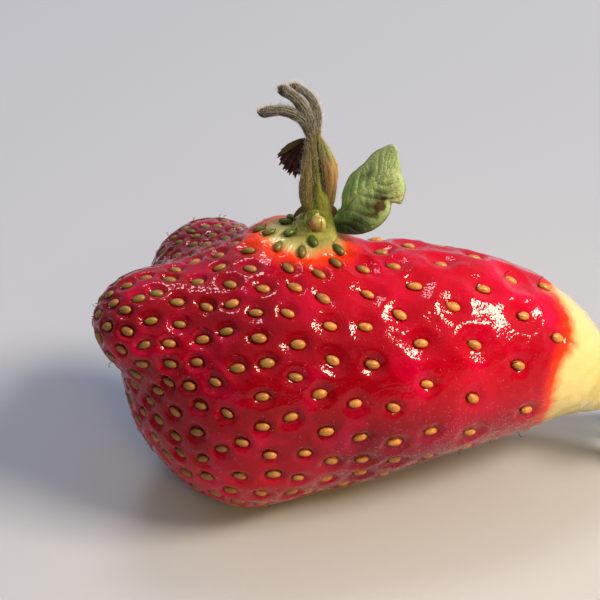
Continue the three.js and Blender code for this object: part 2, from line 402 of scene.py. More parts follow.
def placeAchenes(points):
    # even spacing: scattered seeds move again and again to the middle of the skin that is nearest to them
    fromShoot = np.linalg.norm(points - shootFoot, axis=1)
    apart = np.interp(points[:, 0], *achene["spacing"]) * (0.72 + 0.28 * ease(3, 11, fromShoot))
    apart *= onBackLobe(points)
    clear = achene["clear"]
    index = np.flatnonzero((neckSide(points) < clear["neck"]) & (fromShoot > clear["shoot"])
                           & (points[:, 2] > clear["floor"]))
    chosen = []
    for i in rng.permutation(index)[:achene["tries"]]:
        closest = np.min(np.linalg.norm(points[chosen] - points[i], axis=1), initial=math.inf)
        if closest > apart[i] * achene["squeeze"]:
            chosen.append(i)
    ground = pointTree(points[index])
    sample = index[::3]
    weight = 1 / apart[sample] ** 4
    for _ in range(achene["rounds"]):
        tree = pointTree(points[chosen])
        owner = np.array([tree.find(p)[1] for p in points[sample]])
        sums = [np.bincount(owner, weight * points[sample, c], len(chosen)) for c in range(3)]
        middle = np.stack(sums, 1) / np.maximum(np.bincount(owner, weight, len(chosen)), 1e-9)[:, None]
        chosen = index[[ground.find(m)[1] for m in middle]]
    high = np.flatnonzero(points[:, 2] > shootFoot[2] - 8)
    collar, kept = [], []
    for angle, distance in achene["collar"]:
        turn = math.radians(angle)
        spot = shootFoot[:2] + distance * np.array([math.cos(turn), math.sin(turn)])
        collar.append(high[np.argmin(np.linalg.norm(points[high, :2] - spot, axis=1))])
    for i in np.unique(chosen):
        if np.min(np.linalg.norm(points[collar] - points[i], axis=1)) > clear["collar"]:
            kept.append(i)
    return np.array(kept + collar)


def acheneAxes(places, normals):
    # achenes lie along the fruit with their styles towards the tip, and round the shoot they point away
    near = bell(np.linalg.norm(places - shootFoot, axis=1), 0, 6.5)[:, None]
    heading = unit(np.array([-1, 0, 0.12]) * (1 - near) - unit(places - shootFoot) * near * 1.4)
    along = unit(heading - normals * np.sum(heading * normals, axis=1, keepdims=True))
    turn = rng.normal(0, 0.22, len(places))[:, None]
    along = along * np.cos(turn) + np.cross(normals, along) * np.sin(turn)
    return along, np.cross(normals, along)


def halveFaces(mesh, centres, reach):
    near = pointTree(centres)
    shape = bmesh.new()
    shape.from_mesh(mesh)
    close = set()
    for v in shape.verts:
        _, k, distance = near.find(v.co)
        if distance < reach[k]:
            close.add(v.index)
    edges = [e for e in shape.edges if e.verts[0].index in close and e.verts[1].index in close]
    bmesh.ops.subdivide_edges(shape, edges=edges, cuts=1, use_grid_fill=True)
    shape.to_mesh(mesh)
    shape.free()


flesh = fineFlesh()
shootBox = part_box("shoot_crown")
shootFoot = np.array((shootBox[0] + shootBox[1]) / 2) / mm
shootFoot[2] = shootBox[0].z / mm
coarse, coarseNormals = meshArrays(flesh)
chosen = placeAchenes(coarse)
seedAt, outward = coarse[chosen], coarseNormals[chosen]
along, across = acheneAxes(seedAt, outward)
seedX, seedUp = seedAt[:, 0], outward[:, 2]
hidden = np.maximum(ease(0.1, 0.3, outward[:, 1]), ease(-0.4, -0.6, seedUp))
halveFaces(flesh, seedAt, np.interp(seedX, *skin["fineReach"]) * (1 + (skin["fineShare"] - 1) * hidden))
base, baseNormals = meshArrays(flesh)
fleshFaces = [tuple(f.vertices) for f in flesh.polygons]
print("skin copied:", sum(len(face) - 2 for face in fleshFaces), "triangles,", len(seedAt), "achenes")

nearShoot = bell(np.linalg.norm(seedAt - shootFoot, axis=1), 0, 5)
seedLobe = onBackLobe(seedAt)
seedReach = np.interp(seedX, *skin["bowlReach"]) * rng.uniform(0.82, 1.12, len(seedAt)) * seedLobe
seedBowl = np.interp(seedX, *skin["bowl"]) * (0.75 + 0.25 * ease(-0.6, 0.2, seedUp))
seedLow = ease(0, 8, seedX) * ease(0.6, 0.1, seedUp)  # 1 on the smooth lower right
seedBowl *= rng.uniform(0.6, 1.25, len(seedAt)) * (1 - 0.5 * seedLow)
seedReach *= 1 - 0.2 * seedLow
seedWall = np.interp(seedX, *skin["wall"]) * rng.uniform(0.5, 1.2, len(seedAt)) * seedLobe ** 2
seedWall += skin["lowWall"] * ease(0.1, -0.3, seedUp) * ease(-8, 3, seedX)
seedPit = 0.85 + 0.25 * rng.random(len(seedAt)) - 0.8 * nearShoot
seedSize = (0.9 + 0.1 * ease(-16, -2, seedX) + 0.05 * ease(4, 20, seedX)) * seedLobe ** 0.5
seedSize *= rng.uniform(0.93, 1.07, len(seedAt)) * (1 + 0.12 * nearShoot)


def shapeSkin(points):
    # each point looks at its nearest achenes: where their dimples meet, soft ridges join into a net
    tree = pointTree(seedAt)
    nearest = np.array([[hit[1] for hit in tree.find_n(p, 4)] for p in points])
    dimple = np.zeros(len(points))
    sink = np.full(len(points), -1.0)
    pit = np.zeros(len(points))
    ripple = 1 + 0.07 * softNoise(points, 1.6, 9)
    for k in nearest.T:
        offset = points - seedAt[k]
        u, v, w = (np.sum(offset * axes[k], axis=1) for axes in (along, across, outward))
        oval = np.sqrt((u / (achene["length"] / 2)) ** 2 + (v / (achene["width"] / 2)) ** 2 + (w / 0.9) ** 2)
        oval /= seedSize[k]
        wide = np.sqrt(u ** 2 + (1.15 * v) ** 2 + w ** 2) / seedReach[k] * ripple
        bowl = seedBowl[k] * np.logaddexp(0, (1 - wide ** 2) / skin["rim"]) * skin["rim"]
        dimple += (bowl + seedWall[k] * ease(1.02, 0.78, wide)) ** 4
        hole = skin["pit"] * seedPit[k] * ease(1.36, 0.95, oval)
        sink = np.maximum(sink, hole - skin["lip"] * bell(oval, 1.65, 0.28))
        # pit: where painted shade is laid, full inside the pit round each achene
        pit = np.maximum(pit, ease(1.32, 0.95, oval) * np.clip(seedPit[k], 0, 1))
    return -dimple ** 0.25 - np.where(sink > -0.5, sink, 0), pit


def paintMasks(points, normals):
    x, y, z = points.T
    feather = 0.35 * softNoise(points, 6, 3) + 0.18 * softNoise(points * (0.4, 1, 1), 1.3, 4)
    neckRipe = ease(1.6, -2.8, neckSide(points) + feather)
    fromCollar = np.linalg.norm((points - shootFoot + (1.7, 0.9, 0)) / (1.1, 1, 1 / 0.9), axis=1)
    collarRipe = ease(2.2, 7.4, fromCollar + 0.4 * softNoise(points, 4, 8))
    green = ease(7.0, 1.2, np.linalg.norm(points[:, :2] - shootFoot[:2] + (0.5, -0.1), axis=1))
    # deep: a darker crimson on the left and middle of the front, the far lobe, the top left and the lower
    # middle; mostly painted shade, partly the flesh's own deeper red
    deep = 0.8 * ease(15, 1, x) * (1 - 0.4 * ease(-14, -20, x))
    deep = deep * ease(27, 20, z) * (0.3 + 0.7 * ease(7, 13, z))
    deep += 0.8 * ease(3, 8, y) + 0.75 * ease(2, -7, x) * ease(20, 25, z)
    deep += 0.7 * ease(24, 10, x) * ease(-3, 6, x) * ease(17, 9, z)
    return {
        "ripe": np.minimum(neckRipe, collarRipe),
        "green": green * (z > shootFoot[2] - 4),
        "sheen_and_shade_below": ease(0.35, -0.7, normals[:, 2]) * ease(-14, 8, x),  # the skin facing down: a painted sheen of the fine hairs, in a darker mauve that also paints shade
        "deep": np.clip(deep, 0, 1),
    }


def skinMaterial():
    # ripe strawberry skin, a thin wax over wet red flesh: sharp glints on the ridges and a glow from inside
    material, tree, masks = newMaterial(
        "strawberry_skin", ("ripe", "green", "sheen_and_shade_below", "deep", "pit"), Roughness=0.32, IOR=1.38,
        Specular_IOR_Level=0.06, Coat_Weight=1.0, Coat_Roughness=0.03, Coat_IOR=1.38, Subsurface_Weight=0.12,
        Subsurface_Scale=0.001, Subsurface_Radius=(1.0, 0.22, 0.12), Sheen_Weight=0.02, Sheen_Roughness=0.45,
        Sheen_Tint="#ffc9d2")
    place = addNode(tree, "NewGeometry")
    blotch, tint, grain, soft = [
        addNode(tree, "TexNoise", {"Vector": place, "Scale": 0.6 / (size * mm), "Detail": detail})
        for size, detail in ((5, 3), (2.5, 4), (0.5, 4), (0.5, 2))]
    red = addNode(tree, "ValToRGB", {0: blotch}, [(0.3, "#9e001c"), (0.5, "#b00022"), (0.7, "#be022e")])
    # deep darkens the red: mostly painted shade, partly a deeper crimson of the flesh
    red = paintOver(tree, red, (masks["deep"], 1, "#740010"), (tint, [(0.5, 0), (0.75, 0.45)], "#c60050"),
                    # pit lays painted shade into the pit round each achene
                    # the underside mask lays a painted mauve hair sheen, darker as painted shade
                    (masks["pit"], 0.35, "#740008"), (masks["sheen_and_shade_below"], 0.45, "#88244c"))
    edge = addNode(tree, "Math", {0: grain, 1: 0.2, 2: -0.1}, operation="MULTIPLY_ADD")
    ripeness = addNode(tree, "Math", {0: masks["ripe"], 1: edge}, operation="ADD")
    color = paintOver(tree, "#d0c48a", (masks["green"], 1, "#6c7236"),
                      (ripeness, [(0.05, 0), (0.4, 1)], "#d23e0c"), (ripeness, [(0.4, 0), (0.85, 1)], red))
    # skin cells are 0.03 mm, drawn as 0.3 mm bumps so that they still break up the glints
    cells = addNode(tree, "TexVoronoi", {"Vector": place, "Scale": 1 / (0.3 * mm)})
    height = addNode(tree, "Mix", {0: 0.25, 6: cells, 7: soft}, data_type="RGBA")
    return finishMaterial(material, color, height, 0.65, 0.05, ("Normal", "Coat Normal"))


lift, pitShade = shapeSkin(base)
masks = {**paintMasks(base, baseNormals), "pit": pitShade}
lumps = sum(height * softNoise(base, size, seed) for size, seed, height in skin["lumps"])
lumps += skin["tipLumps"] * ease(2, -6, base[:, 0]) * softNoise(base, *skin["lumps"][-1][:2])
creases = softNoise(base * (0.22, 1, 1), 2.6, 11) * ease(2, 9, base[:, 0]) * ease(0.3, 0.9, baseNormals[:, 2])
lift = lift * (0.45 + 0.55 * ease(0.05, 0.6, masks["ripe"])) + lumps + skin["creases"] * creases
surface = base + baseNormals * lift[:, None]
fromAxis = np.linalg.norm(base[:, :2] - shootFoot[:2], axis=1)
rise = skin["mound"][0] * bell(fromAxis, 0, skin["mound"][1]) * (base[:, 2] > shootFoot[2] - 5)
surface[:, 2] = np.maximum(surface[:, 2] + rise, 0.02)
makePiece("skin", surface, fleshFaces, masks, skinMaterial(), "flesh", ["fruit_flesh"])
skinTree = bvhtree.BVHTree.FromPolygons(surface.tolist(), fleshFaces)
print("skin shaped")


def seedShape(rows=9, sides=12):  # one achene along +X, a blunt drop with a keel
    points = []
    for i in range(rows + 1):
        t = i / rows
        girth = math.sin(math.pi * t) ** 0.5 * (1.05 - 0.2 * t) if 0 < i < rows else 0.02
        for j in range(sides):
            turn = 2 * math.pi * j / sides
            keel = 1 + 0.1 * max(math.sin(turn), 0) ** 6
            points.append((t - 0.5, 0.5 * girth * math.cos(turn), 0.5 * girth * math.sin(turn) * keel))
    return np.array(points), ringFaces(rows, sides)


def acheneMaterial():
    # dry seed coat, ribbed along its length: satin ochre, olive where it ripened last, and dark olive on its
    # lower half towards the pit, partly its own tone and partly painted shade
    material, tree, masks = newMaterial("achene_coat", ("tone", "tip", "side"), Roughness=0.42, IOR=1.45,
                                        Coat_Weight=0.15, Coat_Roughness=0.25)
    coat = addNode(tree, "ValToRGB", {0: masks["tone"]},
                   [(0, "#3e611c"), (0.3, "#66682a"), (0.65, "#96703a"), (1, "#c88e46")])
    place = addNode(tree, "NewGeometry")
    grain = addNode(tree, "TexNoise", {"Vector": place, "Scale": 0.6 / (0.2 * mm), "Detail": 3})
    # the side mask's dark olive is partly the coat's own olive and partly painted shade where the achene
    # sinks into its pit
    color = paintOver(tree, coat, (grain, [(0.42, 0), (0.7, 0.6)], "#7a5220"),
                      (masks["side"], 0.45, "#4f4a1c"), (masks["tip"], 1, "#3c2412"))
    return finishMaterial(material, color, grain, 0.5, 0.02)


def makeAchenes():
    shape, shapeFaces = seedShape()
    low, gain, chance = achene["ripe"]
    deep = (seedBowl + seedWall + skin["pit"] * seedPit) * (1 - 0.3 * nearShoot)
    proud = np.array(achene["proud"]) @ [np.ones(len(seedAt)), nearShoot, ease(-16, -21, seedX)]
    seated = seedAt + outward * (proud - deep)[:, None]
    order = np.argsort(fromAxis)
    toShoot = np.linalg.norm(seated[:, :2] - shootFoot[:2], axis=1)
    seated[:, 2] += np.interp(toShoot, fromAxis[order], rise[order])
    parts, ends = [], []
    for k, centre in enumerate(seated):
        local = shape * (achene["length"], achene["width"], achene["thick"]) * seedSize[k]
        local *= (1, rng.uniform(0.92, 1.1), 1)
        placed = centre + local @ np.array([along[k], across[k], outward[k]])
        ripe = low + ease(-16, 6, seedX[k]) * gain + chance * rng.random() - 1.5 * nearShoot[k]
        ripe -= 0.25 * ease(-3, 6, seedAt[k, 1]) * ease(2, -10, seedX[k])
        # side: the lower half, towards the pit, which takes olive and painted shade
        masks = {"tone": np.clip(ripe - 0.36 * shape[:, 0], 0, 1), "tip": ease(0.4, 0.5, shape[:, 0]) * 0.8,
                 "side": ease(0.35, -0.3, shape[:, 2] * 2)}
        parts.append((placed, shapeFaces, masks))
        ends.append(centre + along[k] * achene["length"] * 0.46 * seedSize[k] + outward[k] * 0.1)
    makePiece("achenes", *joinShapes(parts), acheneMaterial(), "flesh")
    return ends


styleEnds = makeAchenes()

style = {"thick": 0.075, "long": 0.85, "stub": 0.2, "steps": 4}


def styleMaterial():
    # dried style, a shrivelled thread: dark brown to black and dull
    material, tree, _ = newMaterial("dried_style", Roughness=0.7, IOR=1.45)
    place = addNode(tree, "NewGeometry")
    grain = addNode(tree, "TexNoise", {"Vector": place, "Scale": 0.6 / (0.2 * mm), "Detail": 2})
    brown = addNode(tree, "ValToRGB", {0: grain}, [(0.3, "#120a08"), (0.7, "#3c2216")])
    return finishMaterial(material, brown)


def makeStyles():
    # long curled styles stay on near the shoot and the neck, short stubs elsewhere
    keep = np.maximum(nearShoot * 1.4, ease(8, 22, seedX))
    keep = np.maximum(keep, 0.15 * ease(0.5, 0.0, outward[:, 1] * -0.87 + seedUp * 0.5))
    parts = []
    for k, start in enumerate(styleEnds):
        long = rng.random() < keep[k] * 0.75
        length = style["long"] * rng.uniform(0.6, 1.15) if long else style["stub"] * rng.uniform(0.5, 1.4)
        bend = rng.uniform(-1, 1)
        path = [start]
        heading = along[k] * 0.5 + outward[k] * (0.9 if long else 0.35)
        for step in range(style["steps"]):
            heading = unit(heading - along[k] * 0.225 * step + across[k] * bend * 0.35)
            path.append(path[-1] + heading * length / style["steps"])
        thick = style["thick"] * rng.uniform(0.7, 1.1) / 2
        girth = ([0, 0.8, 1], [thick, thick * 0.8, thick * 1.3])
        parts.append(tubeShape(path, girth, girth, 5, 5, facing=outward[k] + 0.3 * across[k]))
    makePiece("styles", *joinShapes(parts), styleMaterial(), "flesh")


makeStyles()
print("achenes and styles placed")

plantSkin = {"IOR": 1.42, "Sheen_Roughness": 0.5, "Subsurface_Scale": 0.0006}  # what all the greens share
fibreLook = {"tip": "#2c2418", "tipFrom": 0.9, "glow": 0.0, "furrow": "#20240f", "rough": 0.6, "down": 0.08,
             "pale": "#c2c088", "paleShare": 0.3}


def fibreMaterial(name, stops, **changes):
    # soft green plant skin with lengthwise fibres: satin, paler on the ribs, with painted shade darkening the
    # furrows between them
    look = {**fibreLook, **changes}
    material, tree, masks = newMaterial(
        name, ("along", "around", "ridge"), Roughness=look["rough"], Sheen_Weight=look["down"],
        Sheen_Tint="#e8e6c8", Specular_IOR_Level=0.3, Subsurface_Weight=look["glow"], **plantSkin)
    spread = addNode(tree, "CombineXYZ", {0: masks["along"], 1: masks["around"]})
    fibre = addNode(tree, "Mapping", {"Vector": spread, "Scale": (3, 14, 1)})
    lines = addNode(tree, "TexNoise", {"Vector": fibre, "Scale": 1.0, "Detail": 4})
    color = addNode(tree, "ValToRGB", {0: masks["along"]}, stops)
    tipFrom = look["tipFrom"]
    # furrow is painted shade, darkening the grooves where the ridges dip
    color = paintOver(tree, color, (lines, [(0.42, 0), (0.66, look["paleShare"])], look["pale"]),
                      (masks["ridge"], [(0.84, 0.92), (1, 0)], look["furrow"]),
                      (masks["along"], [(tipFrom, 0), (min(tipFrom + 0.12, 1), 0.9)], look["tip"]))
    place = addNode(tree, "NewGeometry")
    grain = addNode(tree, "TexNoise", {"Vector": place, "Scale": 0.6 / (0.25 * mm), "Detail": 3})
    height = addNode(tree, "Mix", {0: 0.35, 6: lines, 7: grain}, data_type="RGBA")
    return finishMaterial(material, color, height, 0.7, 0.12)


crown = {
    "path": [(-0.4, 2.2, 27.0), (-0.3, 2.3, 28.0), (-0.2, 2.38, 28.9), (-0.15, 2.4, 29.9)],
    "width": ([0, 0.3, 0.5, 0.75, 0.9, 1], [2.7, 2.2, 1.85, 1.5, 1.3, 0.9]),
    "tones": [(0.15, "#9a9c50"), (0.45, "#747e28"), (0.75, "#6c7620"), (1, "#7c8630")],
}


def makeCrown():
    # the receptacle runs up into the shoot as a fibrous green cone
    def ridges(s, turn):
        fine = 0.012 * np.sin(7 * turn + 1.5) + 0.008 * np.sin(13 * turn + 5 * s)
        return 1 + fine + 0.03 * np.sin(3 * turn + 2)
    material = fibreMaterial("crown_flesh", crown["tones"], tip="#7c8630", glow=0.1, furrow="#5c6a24",
                             paleShare=0.15)
    shape = tubeShape(crown["path"], crown["width"], crown["width"], 26, 56, ridges)
    makePiece("crown", *shape, material, "fresh_stalk", ["shoot_crown"])


makeCrown()

bud = {"centre": (-0.28, 0.42, 28.85), "height": 2.05, "width": 0.62}


def budMaterial():
    # young bud scales, smooth and waxy: cream with a yellow gleam, brown where they have started to dry
    material, tree, masks = newMaterial("bud_scale", ("dry",), Roughness=0.3, IOR=1.42, Coat_Weight=0.4,
                                        Coat_Roughness=0.12, Subsurface_Weight=0.25, Subsurface_Scale=0.0008)
    stretch = addNode(tree, "Mapping", {"Vector": addNode(tree, "NewGeometry"), "Scale": (1, 1, 0.25)})
    streak = addNode(tree, "TexNoise", {"Vector": stretch, "Scale": 0.6 / (0.25 * mm), "Detail": 3})
    cream = addNode(tree, "ValToRGB", {0: streak}, [(0.35, "#8a7c40"), (0.55, "#b4a868"), (0.75, "#dcd08a")])
    dried = addNode(tree, "Math", {0: masks["dry"], 1: streak}, operation="MULTIPLY")
    color = paintOver(tree, cream, (dried, [(0.1, 0), (0.45, 1)], "#b27440"))
    return finishMaterial(material, color, streak, 0.5, 0.05)


def makeBud():
    # three scales side by side, the middle one in front
    centre = np.array(bud["centre"])
    parts = []
    for k in range(3):
        lean = (k - 1) * 0.34
        foot = centre + (lean * 0.5, 0.3, -bud["height"] * 0.5)
        top = centre + (-lean * 0.15, 0.15 + 0.1 * abs(lean), bud["height"] * (0.48 - 0.06 * k))
        middle = centre + (lean, -0.1 * (1 - abs(k - 1)), 0)
        size = bud["width"] * (0.85 if k != 1 else 1.0)
        width = [0.2 * size, 0.65 * size, size, 0.72 * size, 0.35 * size, 0.04]
        points, faces, masks = tubeShape([foot, middle, top], ([0, 0.1, 0.45, 0.8, 0.95, 1], width),
                                         ([0, 0.3, 0.6, 1], [0.2, 0.55, 0.5, 0.04]), 18, 20)
        masks["dry"] = ease(0.1, -0.7, points[:, 0] - centre[0] + (points[:, 2] - centre[2]) * 0.5)
        parts.append((points, faces, masks))
    makePiece("bud", *joinShapes(parts), budMaterial(), "bud_cream", ["shoot_bud"])


makeBud()

stalk = {
    "path": [(0.0, 2.4, 28.6), (-0.15, 2.4, 30), (-0.35, 2.4, 31.6), (-0.5, 2.4, 33.2), (-0.6, 2.4, 34.8),
             (-0.7, 2.4, 36.0), (-0.75, 2.45, 37.2), (-0.8, 2.5, 38.2)],
    "width": ([0, 0.15, 0.3, 0.45, 0.62, 0.78, 0.92, 1], [1.3, 1.35, 1.25, 0.95, 0.75, 0.66, 0.7, 0.4]),
    "thick": ([0, 0.15, 0.3, 0.45, 0.62, 0.78, 0.92, 1], [1.1, 1.05, 0.95, 0.85, 0.7, 0.62, 0.55, 0.35]),
    "tones": [(0, "#86902f"), (0.3, "#74802c"), (0.55, "#545424"), (1, "#7a7044")],
}
stipules = {
    "stipule_left": {
        "path": [(-0.85, 2.0, 29.4), (-1.25, 1.9, 30.4), (-1.4, 1.85, 31.6), (-1.35, 1.85, 33.0),
                 (-1.25, 1.9, 34.4), (-1.15, 2.0, 35.8), (-1.1, 2.15, 36.9)],
        "width": ([0, 0.12, 0.3, 0.55, 0.8, 1], [0.4, 0.62, 0.68, 0.62, 0.45, 0.1]),
        "thick": ([0, 0.5, 1], [0.45, 0.4, 0.08]),
        "tones": [(0, "#6a7234"), (0.25, "#6e6640"), (0.6, "#7a704c"), (1, "#6c6440")],
        "slot": "fresh_stalk",
    },
    "stipule_right": {
        "path": [(0.65, 2.4, 29.3), (0.85, 2.35, 30.6), (0.95, 2.3, 32.0), (0.95, 2.3, 33.4),
                 (0.75, 2.3, 34.6), (0.35, 2.35, 35.7), (0.0, 2.4, 36.6), (-0.3, 2.4, 37.4)],
        "width": ([0, 0.15, 0.35, 0.55, 0.7, 0.85, 1], [0.5, 0.6, 0.66, 0.72, 0.6, 0.36, 0.1]),
        "thick": ([0, 0.5, 1], [0.6, 0.5, 0.08]),
        "tones": [(0, "#6c7832"), (0.22, "#8a7c44"), (0.4, "#aa885a"), (0.58, "#b49868"), (0.75, "#8e9660"),
                  (1, "#7c8650")],
        "slot": "papery_scale",
    },
}


def makeStalk():
    def ridges(s, turn):
        rough = 0.05 * np.sin(9 * turn + 1 + 2 * np.sin(7 * s)) + 0.04 * np.sin(5 * turn + 4 * s)
        groove = bell(turn, 5.45, 0.2) * ease(0.2, 0.35, s) * ease(0.95, 0.8, s)
        return 1 + rough + 0.03 * np.sin(14 * turn + 23 * s) - 0.28 * groove

    def fold(s, turn):
        return 1 + 0.06 * np.sin(8 * turn + 3 * s + np.sin(11 * s)) + 0.05 * np.sin(5 * turn - 9 * s)
    shape = tubeShape(stalk["path"], stalk["width"], stalk["thick"], 48, 40, ridges)
    material = fibreMaterial("downy_stalk", stalk["tones"], furrow="#24240f")
    makePiece("stalk", *shape, material, "hairy_grey_green", ["shoot_stalk"])
    for name, values in stipules.items():
        shape = tubeShape(values["path"], values["width"], values["thick"], 40, 28, fold)
        material = fibreMaterial(name.replace("stipule", "membrane"), values["tones"], tip="#8c8a50",
                                 glow=0.1, furrow="#5a4420")
        makePiece(name + "_blade", *shape, material, values["slot"], [name])


makeStalk()

leaflets = {
    "leaflet_lower": {
        "path": [(-0.85, 2.35, 36.6), (-1.15, 2.3, 37.6), (-1.7, 2.1, 38.7), (-2.6, 1.8, 39.5),
                 (-3.6, 1.5, 39.95), (-4.6, 1.3, 40.0), (-5.4, 1.2, 39.9), (-5.95, 1.2, 40.05)],
        "width": ([0, 0.2, 0.45, 0.7, 0.86, 0.95, 1], [0.4, 0.52, 0.5, 0.5, 0.5, 0.38, 0.14]),
        "tip": "#2a201c",
    },
    "leaflet_middle": {
        "path": [(-0.75, 2.3, 36.6), (-0.95, 2.3, 37.8), (-1.2, 2.3, 38.8), (-1.65, 2.2, 39.8),
                 (-2.3, 2.1, 40.8), (-3.0, 1.95, 41.45), (-3.6, 1.85, 41.8), (-4.05, 1.8, 41.9)],
        "width": ([0, 0.2, 0.45, 0.7, 0.88, 0.96, 1], [0.4, 0.53, 0.6, 0.5, 0.5, 0.46, 0.3]),
        "tip": "#241d16",
    },
    "leaflet_upper": {
        "path": [(-0.55, 2.5, 36.6), (-0.42, 2.6, 37.8), (-0.38, 2.7, 38.9), (-0.55, 2.7, 39.9),
                 (-1.0, 2.6, 40.8), (-1.65, 2.5, 41.5), (-2.35, 2.4, 41.95), (-2.95, 2.4, 42.15)],
        "width": ([0, 0.2, 0.45, 0.7, 0.88, 0.96, 1], [0.4, 0.44, 0.42, 0.38, 0.34, 0.3, 0.14]),
        "tip": "#2c261c",
    },
}
leafletTones = [(0, "#645a30"), (0.25, "#54563c"), (0.6, "#5a5e50"), (0.85, "#52524a"), (1, "#2c2620")]


def makeLeaflets():
    # young leaflets still folded like a fan: three ribs lie side by side, with painted shade in the furrows
    # between
    for index, (name, values) in enumerate(leaflets.items()):
        path = np.array(values["path"])
        at, width = values["width"][0], np.array(values["width"][1])
        spread = np.interp(np.linspace(0, 1, len(path)), at, width)[:, None]
        side = unit(np.cross(np.gradient(path, axis=0), (0.0, -1.0, 0.0)))
        parts = []
        for fold, shift in enumerate((-0.5, 0.0, 0.5)):
            bent = path + side * spread * shift + np.array([0, 0.12 * abs(shift), 0])
            bent[-1] += (bent[-2] - bent[-1]) * (0.25 * ((fold + index) % 3))

            def ridges(s, turn):
                crease = 0.2 * np.sin(5 * turn + fold + 2 * s) + 0.1 * np.sin(3 * turn + 17 * s + fold)
                return 1 + crease + 0.06 * np.sin(41 * s + 2 * turn + index)
            thick = width * (0.75 - 0.15 * abs(shift))
            parts.append(tubeShape(bent, (at, width * 0.46), (at, thick), 44, 20, ridges))
        material = fibreMaterial(name.replace("leaflet", "downy_fold"), leafletTones, tip=values["tip"],
                                 tipFrom=0.88, furrow="#15130c", rough=0.7, pale="#bcbcaa", paleShare=0.75)
        makePiece(name + "_folds", *joinShapes(parts), material, "hairy_grey_green", [name])


makeLeaflets()

withered = {
    "root": (-1.45, 3.45, 36.5),
    "edge": [(-2.2, 3.35, 36.3), (-3.1, 3.25, 35.8), (-4.0, 3.1, 35.1), (-3.95, 3.1, 34.4), (-3.6, 3.2, 33.7),
             (-3.1, 3.3, 33.0), (-2.4, 3.4, 32.5), (-1.7, 3.5, 32.5), (-1.2, 3.6, 33.4)],
    "pleats": 8,
    "roll": [(-1.5, 3.3, 36.45), (-2.2, 3.15, 36.2), (-3.1, 3.0, 35.7), (-3.95, 2.95, 35.0)],
    "rollWidth": ([0, 0.3, 0.8, 1], [0.1, 0.28, 0.3, 0.08]),
    "rollThick": ([0, 0.3, 0.8, 1], [0.08, 0.16, 0.16, 0.05]),
    "thick": 0.06,
}


def witheredMaterial():
    # dead leaf, dried and crumpled: dark purple brown, dull, with paler ribs
    material, tree, masks = newMaterial("withered_leaf", ("olive", "pleat"), Roughness=0.75, IOR=1.4)
    place = addNode(tree, "NewGeometry")
    grain = addNode(tree, "TexNoise", {"Vector": place, "Scale": 0.6 / (0.3 * mm), "Detail": 5})
    brown = addNode(tree, "ValToRGB", {0: grain}, [(0.3, "#261816"), (0.55, "#4a2e2c"), (0.75, "#6a4a46")])
    color = paintOver(tree, brown, (masks["pleat"], 0.45, "#6a4a48"), (masks["olive"], 1, "#58542a"))
    return finishMaterial(material, color, grain, 0.9, 0.1)


def makeWithered():
    # a ragged pleated fan that hangs from a rolled green rib
    rows, columns = 22, 90
    s = np.linspace(0.04, 1, rows)[:, None]
    t = np.linspace(0, 1, columns)[None, :]
    edge = followCurve(withered["edge"], columns)
    root = np.array(withered["root"])
    reach = s * (1 + 0.05 * (np.sin(t * 61) + np.sin(t * 143 + 1)) * s)
    grid = root + (edge[None] - root) * reach[..., None]
    pleat = np.cos(2 * math.pi * withered["pleats"] * t + 0.8 * np.sin(5 * s)) * s
    grid[..., 1] += 0.16 * pleat + 0.25 * np.sin(3 * t * math.pi) * s
    olive = ease(0.26, 0.16, t) * ease(0.3, 0.6, s) * 0.8
    fan = sheetShape(grid, withered["thick"], {"olive": olive, "pleat": np.clip(-pleat, 0, 1)})
    roll = tubeShape(withered["roll"], withered["rollWidth"], withered["rollThick"], 24, 14,
                     lambda s, turn: 1 + 0.12 * np.sin(4 * turn + 14 * s), (0, -1, 0.3))
    roll[2].update(olive=ease(0.05, 0.3, roll[2]["along"]), pleat=0 * roll[2]["along"])
    shape = joinShapes([fan, roll])
    makePiece("withered_fan", *shape, witheredMaterial(), "withered_brown", ["withered_leaflet"])


makeWithered()

scales = {
    "scale_left": [(-1.25, 1.75, 30.15), (-1.7, 1.85, 29.75), (-2.15, 1.95, 29.3), (-2.6, 2.05, 28.7)],
    "scale_right": [(1.2, 1.9, 30.0), (1.35, 1.85, 29.6), (1.3, 1.8, 29.1), (1.05, 1.7, 28.6)],
}
scaleLook = {
    "width": ([0, 0.3, 0.8, 1], [0.1, 0.3, 0.22, 0.04]),
    "thick": ([0, 0.5, 1], [0.05, 0.08, 0.02]),
    "tones": [(0, "#7d6a3e"), (0.4, "#5c4426"), (1, "#3a2818")],
}


def makeScales():
    for name, path in scales.items():
        facing = (0.3 if "left" in name else -0.3, -1, 0.6)
        shape = tubeShape(path, scaleLook["width"], scaleLook["thick"], 14, 12, facing=facing)
        material = fibreMaterial(name.replace("scale", "papery_bract"), scaleLook["tones"], tip="#2c1c12")
        makePiece(name + "_flap", *shape, material, "papery_scale", [name])


makeScales()
print("shoot made")

